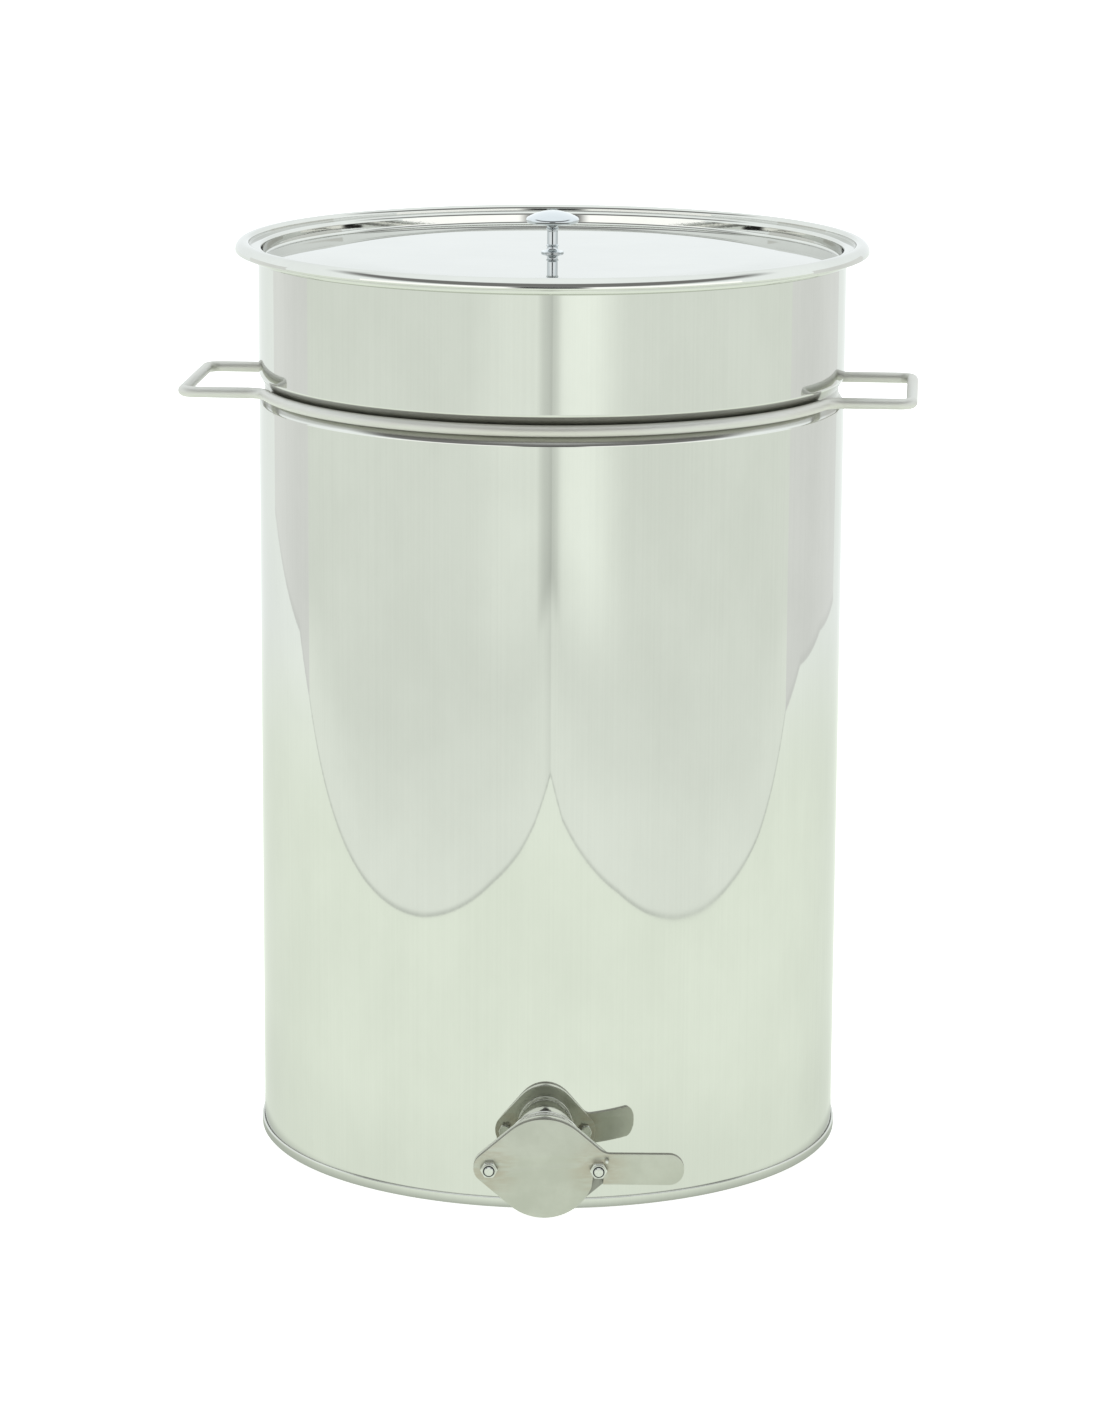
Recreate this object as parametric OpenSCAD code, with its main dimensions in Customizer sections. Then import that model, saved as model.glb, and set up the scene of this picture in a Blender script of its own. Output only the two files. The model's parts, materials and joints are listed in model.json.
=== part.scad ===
// Honey settling tank. The drum is bright sheet steel with a rolled rim and a seamed bottom. A groove
// swaged round it holds a carrying ring, bent from one bar, that makes a loop handle on each side.
// A dished lid with a knob lies on the rim, and a swinging flap gate closes the outlet at the foot.
// Millimetres, +Z up. The origin is the middle of the base on the floor, and the gate faces -Y.

/* [Drum] */
// Outside diameter of the drum
drum_d = 400; // [370:1:460]
// Height of the drum to the top of its rolled rim
drum_h = 619; // [590:1:760]
// Thickness of the drum's sheet
sheet_t = 0.8; // [0.6:0.05:1]
// Outside diameter of the rolled rim
rim_d = 7; // [6:0.5:8]
// Height of the folded seam round the foot
seam_h = 7; // [5:0.5:12]
// Height of the bottom plate's upper face over the floor
bottom_z = 9; // [7:0.5:13]

/* [Groove] */
// Distance from the top of the rolled rim down to the middle of the groove
groove_drop = 95; // [60:1:180]
// Height of the groove between its two edges
groove_h = 19.6; // [17:0.2:24]
// Height of the groove's flat floor
groove_floor_h = 6; // [4:0.5:9]
// Depth of the groove
groove_depth = 4; // [3:0.25:5]

/* [Carrying ring] */
// Diameter of the bar
bar_d = 7.5; // [6:0.5:9]
// Distance from the drum's wall to the middle of a handle's outer bar
handle_reach = 46.2; // [40:0.2:70]
// Distance between the middles of a handle's two arms
handle_w = 120; // [90:1:160]
// Bend radius of the handle's outer corners, to the bar's middle
corner_r = 9; // [7:0.5:16]
// Bend radius where an arm leaves the ring, to the bar's middle
arm_bend_r = 15; // [10:0.5:25]
// Turn of the handles about the drum, off the line square to the gate
ring_turn = -4; // [-15:0.5:15]

/* [Lid] */
// Thickness of the lid's sheet
lid_t = 0.8; // [0.6:0.05:1]
// Width of the lid's rolled edge
roll_w = 10; // [9:0.2:12]
// Height of the lid's rolled edge
roll_h = 7.4; // [7:0.1:8]
// Distance from the drum's wall to the outside of the rolled edge
roll_overhang = 15.6; // [14.5:0.1:20]
// Depth of the lid's plate at its edge, under the top of the roll
plate_depth = 13; // [11:0.5:18]
// Rise of the plate's flat middle above its edge
plate_crown = 3.6; // [2:0.2:6]
// Radial room between the lid's plug and the inside of the drum
plug_room = 1; // [0.8:0.1:3]

/* [Knob] */
// Diameter of the knob's head
knob_d = 36; // [28:0.5:44]
// Height of the knob over the lid's plate
knob_h = 28.8; // [24:0.2:36]
// Height of the head's dome over the middle of its edge
dome_h = 6.4; // [5:0.2:9]
// Diameter of the neck
neck_d = 7.4; // [6.6:0.1:9]
// Diameter of the knob's foot
foot_d = 15.4; // [14:0.2:20]
// Diameter of the fixing screw
screw_d = 4; // [3:0.5:4.5]

/* [Outlet] */
// Height of the outlet's axis over the floor
gate_z = 41.5; // [38:0.5:60]
// Outside diameter of the outlet pipe
pipe_d = 51; // [40:0.5:54]
// Wall of the outlet pipe
pipe_t = 2; // [1.5:0.1:3]
// Length of the outlet pipe in front of the drum
pipe_len = 33; // [24:0.5:45]
// Thickness of the flange
flange_t = 5; // [4.5:0.1:7]
// Radius of the disc of the flange and the flap
disc_r = 33.8; // [32:0.2:36]
// Distance from the outlet's axis to each bolt
bolt_x = 36; // [35:0.5:42]
// Radius of the ears round the bolts
ear_r = 10.3; // [9:0.1:12]
// Width of the seal ring
seal_w = 3; // [2:0.1:4]
// Depth of the seal ring's seat in the flange
seal_depth = 2; // [1.5:0.1:3]

/* [Flap] */
// Thickness of the flap
flap_t = 4; // [3:0.1:6]
// Distance from the outlet's axis to the end of the lever
lever_reach = 92; // [75:1:110]
// Height of the lever
lever_h = 20.9; // [20.2:0.1:22]
// Radius of the lever's outer corners
lever_end_r = 10; // [6:0.5:10]
// Radius of the hollow where the lever leaves the disc
hollow_r = 12; // [6:0.5:16]
// Width of the slot that clears the clamp bolt
slot_w = 7; // [6.8:0.1:8]
// Diameter of the stop pin
pin_d = 2.4; // [1.8:0.1:2.8]
// Length of the stop pin in front of the flap
pin_len = 5; // [3:0.5:8]

/* [Bolts] */
// Diameter of the two gate bolts
bolt_d = 6; // [5:0.5:6]
// Width across the flats of the heads and nuts
flats_w = 10; // [9:0.5:11]
// Height of the bolt heads
head_h = 4; // [3:0.1:5]
// Height of the nuts' hexagon
nut_h = 4.4; // [4:0.1:6]
// Height of the nuts' collar, which holds the locking insert
collar_h = 1.6; // [1.2:0.1:2.5]
// Length of bolt in front of the nut
bolt_end = 1.2; // [0.8:0.1:4]

/* [Hidden] */
$fn = 96;

// Length by which a cut runs past what it cuts
overrun = 1;
// Room between pieces that are welded, folded, pressed or screwed together, and round the pivot bolt
joint_gap = 0.05;
// Room between faces of pieces that move past each other
moving_gap = 0.3;
// Room round the bolts in the flange and round the screw in the lid
hole_gap = 0.2;
// Largest angle and length of the straight steps that draw a round stretch of an outline
step_angle = 6;
step_len = 16;
// Steps of the ring's long arcs, of its bends, and the sides of its bar
arc_steps = 30;
bend_steps = 6;
bar_sides = 12;

// Drum: radii, and the bends of its sheet to the middle of the thickness
groove_bend_r = 3;
bottom_bend_r = 2;
seam_bend_r = 0.6;
hem_gap = 0.1;
curl_tail = 0.6;
drum_r = drum_d / 2;
drum_bore_r = drum_r - sheet_t;
wall_mid_r = drum_r - sheet_t / 2;
groove_z = drum_h - groove_drop;
groove_mid_r = wall_mid_r - groove_depth;
curl_r = (rim_d - sheet_t) / 2;
curl_out_r = wall_mid_r + 2 * curl_r;
curl_high_z = drum_h - sheet_t / 2;
curl_low_z = curl_high_z - 2 * curl_r;
wall_foot_z = sheet_t + seam_bend_r;
seam_in_r = drum_bore_r - joint_gap - sheet_t / 2;
seam_out_r = drum_r + joint_gap + sheet_t / 2;
hem_r = seam_out_r + sheet_t + hem_gap;
hem_bend_r = (hem_r - seam_out_r) / 2;
seam_low_z = sheet_t / 2;
seam_high_z = seam_h - sheet_t / 2;
hem_foot_z = 2 * sheet_t;
bottom_mid_z = bottom_z - sheet_t / 2;

// Carrying ring: the bar lies on the groove's floor, and an arm leaves it tangent to a bend outside it
ring_r = drum_r - groove_depth + joint_gap + bar_d / 2;
bar_x = drum_r + handle_reach;
arm_y = handle_w / 2;
bend_y = arm_y + arm_bend_r;
bend_x = sqrt((ring_r + arm_bend_r) ^ 2 - bend_y ^ 2);
bend_angle = atan2(bend_y, bend_x);

// Lid: all to the middle of the sheet's thickness, apart from the top and plate_top_z
plug_bend_r = 2;
foot_bend_r = 3.6;
plug_draft = 0.35;
flat_share = 0.74;
shoulder_bend_r = 300;
ledge_bend_r = 0.6;
ledge_z = drum_h + moving_gap + lid_t / 2;
roll_bend_r = (roll_h - lid_t) / 2;
roll_out_r = drum_r + roll_overhang - lid_t / 2;
roll_in_r = roll_out_r - roll_w + lid_t;
crest_share = 0.85;
crest_bend_r = crest_share * 2 * roll_bend_r;
roll_in_bend_r = 2.4;
skirt_flare = 0.35;
lip_bend_r = 0.8;
skirt_top_r = roll_out_r - skirt_flare;
roll_high_z = ledge_z + ledge_bend_r + roll_bend_r;
roll_low_z = roll_high_z - 2 * roll_bend_r;
roll_end_r = roll_out_r - roll_bend_r - lid_t;
lid_top_z = roll_high_z + lid_t / 2;
plug_top_r = drum_bore_r - plug_room - lid_t / 2;
plug_foot_r = plug_top_r - plug_draft;
plug_foot_z = lid_top_z - plate_depth - lid_t / 2;
plate_flat_r = flat_share * plug_foot_r;
crown_z = plug_foot_z + plate_crown;
plate_top_z = crown_z + lid_t / 2;
plate_low_z = crown_z - lid_t / 2;

// Knob and its screw
edge_r = 2.2;
under_r = 3;
bead_r = 1.1;
bead_proud = 0.6;
low_bead_z = 5;
high_bead_z = 16.4;
foot_t = 1.2;
flare_r = 3;
screw_grip = 9;
screw_head_d = 8;
screw_head_h = 2.6;
washer_d = 12;
washer_t = 1;
edge_z = knob_h - dome_h;
neck_r = neck_d / 2;
dome_base_r = knob_d / 2 - edge_r;
dome_r = (dome_base_r ^ 2 + dome_h ^ 2 - edge_r ^ 2) / (2 * (dome_h - edge_r));
dome_cap_r = dome_base_r * dome_r / (dome_r - edge_r);
screw_hole_d = screw_d + 2 * hole_gap;
washer_top_z = plate_low_z - joint_gap;
screw_seat_z = washer_top_z - washer_t;

// Gate: distances from the drum's axis, along the outlet
pipe_bore_d = pipe_d - 2 * pipe_t;
flange_back = drum_r + pipe_len;
flange_face = flange_back + flange_t;
flap_back = flange_face + moving_gap;
flap_face = flap_back + flap_t;
nut_back = flap_face + moving_gap;
bolt_tip = nut_back + nut_h + collar_h + bolt_end;
seal_mid_r = (pipe_bore_d / 2 + disc_r) / 2;
seal_proud = moving_gap / 2;

// Flap: the tangent from the disc to an ear, and where it meets the lever's top edge
tangent_angle = acos((disc_r - ear_r) / bolt_x);
tangent_x = disc_r * cos(tangent_angle);
tangent_y = disc_r * sin(tangent_angle);
lever_y = lever_h / 2;
lever_root_x = tangent_x + (tangent_y - lever_y) * tan(tangent_angle);
slot_r = 2 * bolt_x;
slot_turn = 40;
pin_from_bolt_x = 5.3;
pin_from_bolt_y = 6.4;
pin_chamfer = 0.4;

// Bolts and nuts
chamfer_share = 0.92;
corner_d = flats_w / cos(30);
chamfer_d = chamfer_share * flats_w;
collar_d = 8.8;
insert_d = 7.6;
insert_h = 1.6;
insert_sunk = 0.3;
insert_seat = nut_h + collar_h - insert_sunk - insert_h;
thread_chamfer = 0.6;

steel = [0.80, 0.82, 0.79];
satin = [0.72, 0.72, 0.68];
chrome = [0.86, 0.87, 0.90];
rubber = [0.88, 0.87, 0.82];
nylon = [0.16, 0.17, 0.20];

function point(p) = [p.x, p.y];
function left_of(u) = [-u.y, u.x];
function heading(a, b) = (point(b) - point(a)) / norm(point(b) - point(a));
function backwards(list) = [for (i = [len(list) - 1 : -1 : 0]) list[i]];
// Points along an arc, in steps that are short in angle and in length
function arc_points(middle, r, from, turn, r_mid = 0) =
    let (steps = max(ceil(abs(turn) / step_angle), ceil(max(r, r_mid) * abs(turn) * PI / 180 / step_len)))
    [for (i = [0 : steps]) middle + r * [cos(from + turn * i / steps), sin(from + turn * i / steps)]];

// A sheet's path is a list of corners, each of them [x, y, bend radius]
function turn_at(path, i) =
    let (u = heading(path[i - 1], path[i]), v = heading(path[i], path[i + 1]))
    atan2(u.x * v.y - u.y * v.x, u * v);
function setback(path, i) = path[i].z * tan(abs(turn_at(path, i)) / 2);
// The points at a corner of the face that lies off to the left of the path
function corner_points(path, i, off) =
    i == 0 ? [point(path[0]) + off * left_of(heading(path[0], path[1]))] :
    i == len(path) - 1 ? [point(path[i]) + off * left_of(heading(path[i - 1], path[i]))] :
    let (u = heading(path[i - 1], path[i]), turn = turn_at(path, i), side = sign(turn))
    let (middle = point(path[i]) - setback(path, i) * u + side * path[i].z * left_of(u))
    arc_points(middle, path[i].z - side * off, atan2(u.y, u.x) - side * 90, turn, path[i].z + abs(off));
function face_points(path, off) = [for (i = [0 : len(path) - 1]) each corner_points(path, i, off)];

module sheet_section(path, t) {
    polygon(concat(face_points(path, t / 2), backwards(face_points(path, -t / 2))));
}

// Sets its children in front of the drum: their X is across, Y is up and Z is out along the outlet
module gate_frame(out = 0) {
    translate([0, 0, gate_z])
        rotate([90, 0, 0])
            translate([0, 0, out])
                children();
}

// The outline of a disc with two ears, each joined to it by tangents
module eared_disc() {
    polygon([for (side = [0, 180])
        each concat(
            arc_points([bolt_x * cos(side), 0], ear_r, side - tangent_angle, 2 * tangent_angle),
            arc_points([0, 0], disc_r, side + tangent_angle, 180 - 2 * tangent_angle))]);
}

// A hexagon of height h, chamfered on its outer end
module hexagon(h) {
    blank_r = corner_d / 2 + joint_gap;
    chamfer_h = (blank_r - chamfer_d / 2) * tan(30);
    intersection() {
        cylinder(h = h, d = corner_d, $fn = 6);
        rotate_extrude()
            polygon([[0, 0], [blank_r, 0], [blank_r, h - chamfer_h], [chamfer_d / 2, h], [0, h]]);
    }
}

module gate_bolt(x) {
    color(satin)
        gate_frame()
            translate([x, 0, 0]) {
                translate([0, 0, flange_back])
                    rotate([180, 0, 0])
                        hexagon(head_h);
                translate([0, 0, flange_back])
                    cylinder(h = bolt_tip - thread_chamfer - flange_back, d = bolt_d);
                translate([0, 0, bolt_tip - thread_chamfer])
                    cylinder(h = thread_chamfer, d1 = bolt_d, d2 = bolt_d - 2 * thread_chamfer);
            }
}

module gate_nut(x) {
    color(satin)
        gate_frame(nut_back)
            translate([x, 0, 0])
                difference() {
                    union() {
                        hexagon(nut_h);
                        cylinder(h = nut_h + collar_h, d = collar_d);
                    }
                    translate([0, 0, -overrun])
                        cylinder(h = nut_h + collar_h + 2 * overrun, d = bolt_d + 2 * joint_gap);
                    translate([0, 0, insert_seat])
                        cylinder(h = insert_h + insert_sunk + overrun, d = insert_d + 2 * joint_gap);
                }
}

module nut_insert(x) {
    color(nylon)
        gate_frame(nut_back + insert_seat)
            translate([x, 0, 0])
                linear_extrude(insert_h)
                    difference() {
                        circle(d = insert_d);
                        circle(d = bolt_d + 2 * joint_gap);
                    }
}

module drum_wall() {
    color(steel)
        difference() {
            rotate_extrude()
                sheet_section([
                    [wall_mid_r, wall_foot_z, 0],
                    [wall_mid_r, groove_z - groove_h / 2, groove_bend_r],
                    [groove_mid_r, groove_z - groove_floor_h / 2, groove_bend_r],
                    [groove_mid_r, groove_z + groove_floor_h / 2, groove_bend_r],
                    [wall_mid_r, groove_z + groove_h / 2, groove_bend_r],
                    [wall_mid_r, curl_high_z, curl_r],
                    [curl_out_r, curl_high_z, curl_r],
                    [curl_out_r, curl_low_z, curl_r],
                    [wall_mid_r + curl_r - curl_tail, curl_low_z, 0]], sheet_t);
            gate_frame()
                cylinder(h = drum_r + overrun, d = pipe_d + 2 * joint_gap);
        }
}

module drum_bottom() {
    color(steel)
        rotate_extrude()
            sheet_section([
                [0, bottom_mid_z, 0],
                [seam_in_r, bottom_mid_z, bottom_bend_r],
                [seam_in_r, seam_low_z, seam_bend_r],
                [seam_out_r, seam_low_z, seam_bend_r],
                [seam_out_r, seam_high_z, hem_bend_r],
                [hem_r, seam_high_z, hem_bend_r],
                [hem_r, hem_foot_z, 0]], sheet_t);
}

// Stations of the bar's middle line, each [place, heading], along an arc and between two of its steps
function arc_stations(middle, r, from, turn, steps) =
    [for (i = [0 : steps]) let (a = from + turn * i / steps)
        [middle + r * [cos(a), sin(a)], a + 90 * sign(turn)]];
// Half of the closed bar: round one handle, then along the ring to the other one. The long arc's
// corners lie a little outside the ring, so that the middles of its chords rest in the groove.
half_ring = concat(
    arc_stations([bend_x, -bend_y], arm_bend_r, 180 - bend_angle, bend_angle - 90, bend_steps),
    arc_stations([bar_x - corner_r, corner_r - arm_y], corner_r, -90, 90, bend_steps),
    arc_stations([bar_x - corner_r, arm_y - corner_r], corner_r, 0, 90, bend_steps),
    arc_stations([bend_x, bend_y], arm_bend_r, -90, bend_angle - 90, bend_steps),
    [for (i = [1 : arc_steps - 1]) let (a = bend_angle + (180 - 2 * bend_angle) * i / arc_steps)
        [ring_r / cos((90 - bend_angle) / arc_steps) * [cos(a), sin(a)], a + 90]]);
ring_stations = concat(half_ring, [for (s = half_ring) [-s[0], s[1] + 180]]);

module carrying_ring() {
    count = len(ring_stations);
    corners = [for (s = ring_stations, k = [0 : bar_sides - 1])
        let (a = 360 * k / bar_sides, across = bar_d / 2 * cos(a))
        [s[0].x + across * sin(s[1]), s[0].y - across * cos(s[1]), bar_d / 2 * sin(a)]];
    faces = [for (i = [0 : count - 1], k = [0 : bar_sides - 1])
        let (j = (i + 1) % count, m = (k + 1) % bar_sides)
        each [[i * bar_sides + k, i * bar_sides + m, j * bar_sides + m],
            [i * bar_sides + k, j * bar_sides + m, j * bar_sides + k]]];
    color(satin)
        translate([0, 0, groove_z])
            rotate(ring_turn)
                polyhedron(corners, faces);
}

module lid_pan() {
    color(steel)
        difference() {
            rotate_extrude()
                sheet_section([
                    [0, crown_z, 0],
                    [plate_flat_r, crown_z, shoulder_bend_r],
                    [plug_foot_r, plug_foot_z, foot_bend_r],
                    [plug_top_r, ledge_z, plug_bend_r],
                    [roll_in_r, ledge_z, ledge_bend_r],
                    [roll_in_r, roll_high_z, roll_in_bend_r],
                    [skirt_top_r, roll_high_z, crest_bend_r],
                    [roll_out_r, roll_low_z, lip_bend_r],
                    [roll_end_r, roll_low_z, 0]], lid_t);
            translate([0, 0, plate_low_z - overrun])
                cylinder(h = lid_t + 2 * overrun, d = screw_hole_d);
        }
}

module lid_knob() {
    color(chrome)
        translate([0, 0, plate_top_z])
            difference() {
                rotate_extrude() {
                    // domed head that runs smoothly into its rounded edge
                    intersection() {
                        translate([0, knob_h - dome_r])
                            circle(r = dome_r);
                        translate([0, edge_z])
                            square([dome_cap_r, dome_h]);
                    }
                    translate([0, edge_z - edge_r])
                        square([dome_base_r, 2 * edge_r]);
                    translate([dome_base_r, edge_z])
                        circle(r = edge_r);
                    // neck, with a hollow under the head and two beads
                    square([neck_r, edge_z]);
                    translate([neck_r, edge_z - edge_r - under_r])
                        difference() {
                            square(under_r);
                            translate([under_r, 0])
                                circle(r = under_r);
                        }
                    for (bead_z = [low_bead_z, high_bead_z])
                        translate([neck_r + bead_proud - bead_r, bead_z])
                            circle(r = bead_r);
                    // flared foot
                    square([foot_d / 2, foot_t]);
                    translate([neck_r, foot_t])
                        difference() {
                            square(flare_r);
                            translate([flare_r, flare_r])
                                circle(r = flare_r);
                        }
                }
                translate([0, 0, -overrun])
                    cylinder(h = screw_grip + overrun, d = screw_d + 2 * joint_gap);
            }
}

module knob_washer() {
    color(satin)
        translate([0, 0, screw_seat_z])
            linear_extrude(washer_t)
                difference() {
                    circle(d = washer_d);
                    circle(d = screw_hole_d);
                }
}

module knob_screw() {
    color(satin)
        translate([0, 0, screw_seat_z]) {
            translate([0, 0, -screw_head_h])
                cylinder(h = screw_head_h, d = screw_head_d);
            cylinder(h = plate_top_z + screw_grip - joint_gap - screw_seat_z, d = screw_d);
        }
}

module outlet_pipe() {
    color(satin)
        difference() {
            gate_frame()
                linear_extrude(flange_back)
                    difference() {
                        circle(d = pipe_d);
                        circle(d = pipe_bore_d);
                    }
            cylinder(h = drum_h, r = drum_bore_r);
        }
}

module gate_flange() {
    color(satin)
        gate_frame(flange_back)
            difference() {
                linear_extrude(flange_t)
                    difference() {
                        eared_disc();
                        circle(d = pipe_bore_d);
                        for (side = [-1, 1])
                            translate([side * bolt_x, 0])
                                circle(d = bolt_d + 2 * hole_gap);
                    }
                translate([0, 0, flange_t - seal_depth])
                    linear_extrude(seal_depth + overrun)
                        difference() {
                            circle(r = seal_mid_r + seal_w / 2 + joint_gap);
                            circle(r = seal_mid_r - seal_w / 2 - joint_gap);
                        }
            }
}

module gate_seal() {
    color(rubber)
        gate_frame(flange_face - seal_depth)
            linear_extrude(seal_depth + seal_proud)
                difference() {
                    circle(r = seal_mid_r + seal_w / 2);
                    circle(r = seal_mid_r - seal_w / 2);
                }
}

module gate_flap() {
    lever_back = hollow_r * tan((90 - tangent_angle) / 2);
    lever_end = [lever_reach - lever_end_r, lever_y - lever_end_r];
    disc_low_angle = asin(lever_y / disc_r);
    // the disc and its pivot ear, with the lever in place of the other ear
    outline = concat(
        arc_points([lever_end.x, -lever_end.y], lever_end_r, -90, 90),
        arc_points(lever_end, lever_end_r, 0, 90),
        arc_points([lever_root_x + lever_back, lever_y + hollow_r], hollow_r, -90, tangent_angle - 90),
        arc_points([0, 0], disc_r, tangent_angle, 180 - 2 * tangent_angle),
        arc_points([-bolt_x, 0], ear_r, 180 - tangent_angle, 2 * tangent_angle),
        arc_points([0, 0], disc_r, 180 + tangent_angle, 180 - tangent_angle - disc_low_angle));
    // the slot bends round the pivot, ends round the clamp bolt and is open below
    slot = concat(
        arc_points([-bolt_x, 0], slot_r + slot_w / 2, -slot_turn, slot_turn),
        arc_points([bolt_x, 0], slot_w / 2, 0, 180),
        arc_points([-bolt_x, 0], slot_r - slot_w / 2, 0, -slot_turn));
    color(satin)
        gate_frame(flap_back)
            linear_extrude(flap_t)
                difference() {
                    polygon(outline);
                    polygon(slot);
                    translate([-bolt_x, 0])
                        circle(d = bolt_d + 2 * joint_gap);
                    translate([bolt_x + pin_from_bolt_x, pin_from_bolt_y])
                        circle(d = pin_d + 2 * joint_gap);
                }
}

module stop_pin() {
    color(satin)
        gate_frame(flap_back)
            translate([bolt_x + pin_from_bolt_x, pin_from_bolt_y, 0]) {
                cylinder(h = flap_t + pin_len - pin_chamfer, d = pin_d);
                translate([0, 0, flap_t + pin_len - pin_chamfer])
                    cylinder(h = pin_chamfer, d1 = pin_d, d2 = pin_d - 2 * pin_chamfer);
            }
}

drum_wall();
drum_bottom();
carrying_ring();
lid_pan();
lid_knob();
knob_washer();
knob_screw();
outlet_pipe();
gate_flange();
gate_seal();
gate_flap();
stop_pin();
gate_bolt(-bolt_x);  // pivot_bolt
gate_nut(-bolt_x);  // pivot_nut
nut_insert(-bolt_x);  // pivot_nut_insert
gate_bolt(bolt_x);  // clamp_bolt
gate_nut(bolt_x);  // clamp_nut
nut_insert(bolt_x);  // clamp_nut_insert
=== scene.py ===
# %% [markdown]
# # A honey settling tank
# The tank is a tall drum of bright steel sheet with a bar bent round it for carrying, a loose dished
# lid with a chrome knob, and a flap gate at its foot. The solids arrive with the frame, in metres and
# in their final places. This lesson gives them their looks: smooth bent sheet, softened edges and
# metal finishes, in a white studio. Sizes of pieces are written in millimetres, as on a drawing.

# %% Load the frame
import json
import math
import bmesh
import bpy
from mathutils import Matrix, Vector

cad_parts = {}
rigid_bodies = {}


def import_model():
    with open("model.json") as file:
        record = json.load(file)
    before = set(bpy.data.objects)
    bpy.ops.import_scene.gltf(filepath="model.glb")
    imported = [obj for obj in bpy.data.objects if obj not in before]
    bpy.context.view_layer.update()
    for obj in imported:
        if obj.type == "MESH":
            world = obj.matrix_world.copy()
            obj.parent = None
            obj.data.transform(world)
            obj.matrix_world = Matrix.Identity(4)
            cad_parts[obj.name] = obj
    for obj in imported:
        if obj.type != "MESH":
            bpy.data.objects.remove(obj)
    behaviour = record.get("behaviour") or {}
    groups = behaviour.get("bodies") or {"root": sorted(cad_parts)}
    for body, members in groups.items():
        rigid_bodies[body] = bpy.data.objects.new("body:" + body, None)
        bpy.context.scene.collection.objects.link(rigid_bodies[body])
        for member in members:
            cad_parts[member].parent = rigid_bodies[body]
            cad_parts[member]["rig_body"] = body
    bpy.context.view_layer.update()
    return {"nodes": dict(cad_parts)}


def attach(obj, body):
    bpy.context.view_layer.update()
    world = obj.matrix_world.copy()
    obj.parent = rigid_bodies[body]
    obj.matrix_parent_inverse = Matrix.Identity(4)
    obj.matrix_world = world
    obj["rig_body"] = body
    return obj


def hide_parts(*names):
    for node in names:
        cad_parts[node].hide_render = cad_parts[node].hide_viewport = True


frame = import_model()
MM = 0.001

# %% [markdown]
# The camera could be dragged into place by eye. It is set from numbers instead, so that it can be corrected
# a little at a time: a place, then how far it is turned, tipped and rolled. A camera looks along its own -Z,
# so the columns of its matrix are the right, the up and the backward direction.

# %% Camera
eye = Vector((31.91, -3137.3, 997.8)) * MM
yaw, tip, roll = (math.radians(a) for a in (-0.583, 12.624, 0.301))
look = Vector((math.sin(yaw) * math.cos(tip), math.cos(yaw) * math.cos(tip), -math.sin(tip)))
across = look.cross(Vector((0, 0, 1))).normalized()
upward = across.cross(look)
right = across * math.cos(roll) + upward * math.sin(roll)
up = upward * math.cos(roll) - across * math.sin(roll)

camera = bpy.data.objects.new("camera", bpy.data.cameras.new("camera"))
camera.data.sensor_width = 36
camera.data.lens = 117.07
camera.data.clip_end = 200
camera.matrix_world = Matrix.Translation(eye) @ Matrix((right, up, -look)).transposed().to_4x4()
bpy.context.scene.collection.objects.link(camera)
bpy.context.scene.camera = camera
print("camera at", [round(c, 3) for c in eye], "lens", camera.data.lens)

# %% [markdown]
# Shader maths reads best as plain sums. A Wire is one output of a node; adding or multiplying wires adds
# the Math nodes. Every other node comes from `node`, which takes its type, its settings and its sockets.

# %% Shader sums
class Wire:
    def __init__(self, tree, socket):
        self.tree, self.socket = tree, socket

    def sum(self, operation, first, second=0.0):
        return node(self.tree, "ShaderNodeMath", {"operation": operation}, {0: first, 1: second})

    def __add__(self, other): return self.sum("ADD", self, other)
    def __radd__(self, other): return self.sum("ADD", other, self)
    def __sub__(self, other): return self.sum("SUBTRACT", self, other)
    def __rsub__(self, other): return self.sum("SUBTRACT", other, self)
    def __mul__(self, other): return self.sum("MULTIPLY", self, other)
    def __rmul__(self, other): return self.sum("MULTIPLY", other, self)
    def __pow__(self, other): return self.sum("POWER", self, other)
    def __abs__(self): return self.sum("ABSOLUTE", self)


def node(tree, kind, settings=None, sockets=None, output=0):
    new = tree.nodes.new(kind)
    for name, value in (settings or {}).items():
        setattr(new, name, value)
    for name, value in (sockets or {}).items():
        if isinstance(value, Wire):
            tree.links.new(value.socket, new.inputs[name])
        else:
            new.inputs[name].default_value = value
    return Wire(tree, new.outputs[output])


print("shader sums ready")

# %% [markdown]
# Four small helpers come up again and again: a soft step from 0 to 1, a blend of two colours by a mask, a
# colour from its three parts, and the place on a surface split into its x, y and z.

# %% Steps, blends and places
def step(wire, low, high):
    """0 below low, 1 above high, and a soft rise between them."""
    return node(wire.tree, "ShaderNodeMapRange", {"interpolation_type": "SMOOTHSTEP"},
                {"Value": wire, "From Min": low, "From Max": high, "To Min": 0.0, "To Max": 1.0})


def blend(mask, first, second):
    """The first colour where the mask is 0, the second where it is 1."""
    return node(mask.tree, "ShaderNodeMix", {"data_type": "RGBA"}, {"Factor": mask, 6: first, 7: second}, 2)


def rgb(r, g, b):
    return (r, g, b, 1.0)


def split(place, axes="xyz"):
    return [node(place.tree, "ShaderNodeSeparateXYZ", None, {0: place}, "xyz".index(axis)) for axis in axes]


WHITE = rgb(1.0, 1.0, 1.0)
print("helpers ready")

# %% [markdown]
# ## The studio
# Mirror-like steel shows its surroundings more than itself, so the surroundings are built first. The
# tank stands on a pale floor. Low bowed cards meet in a corner in front of it, two more stand at its
# sides, and behind the front cards the camera stands in a dark gap between two bright panels. They could
# be lit by lamps, but a card that glows by itself has exactly the tone that is wanted in the reflection.
# So all of them are seen only in reflections and cast nothing.

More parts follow.
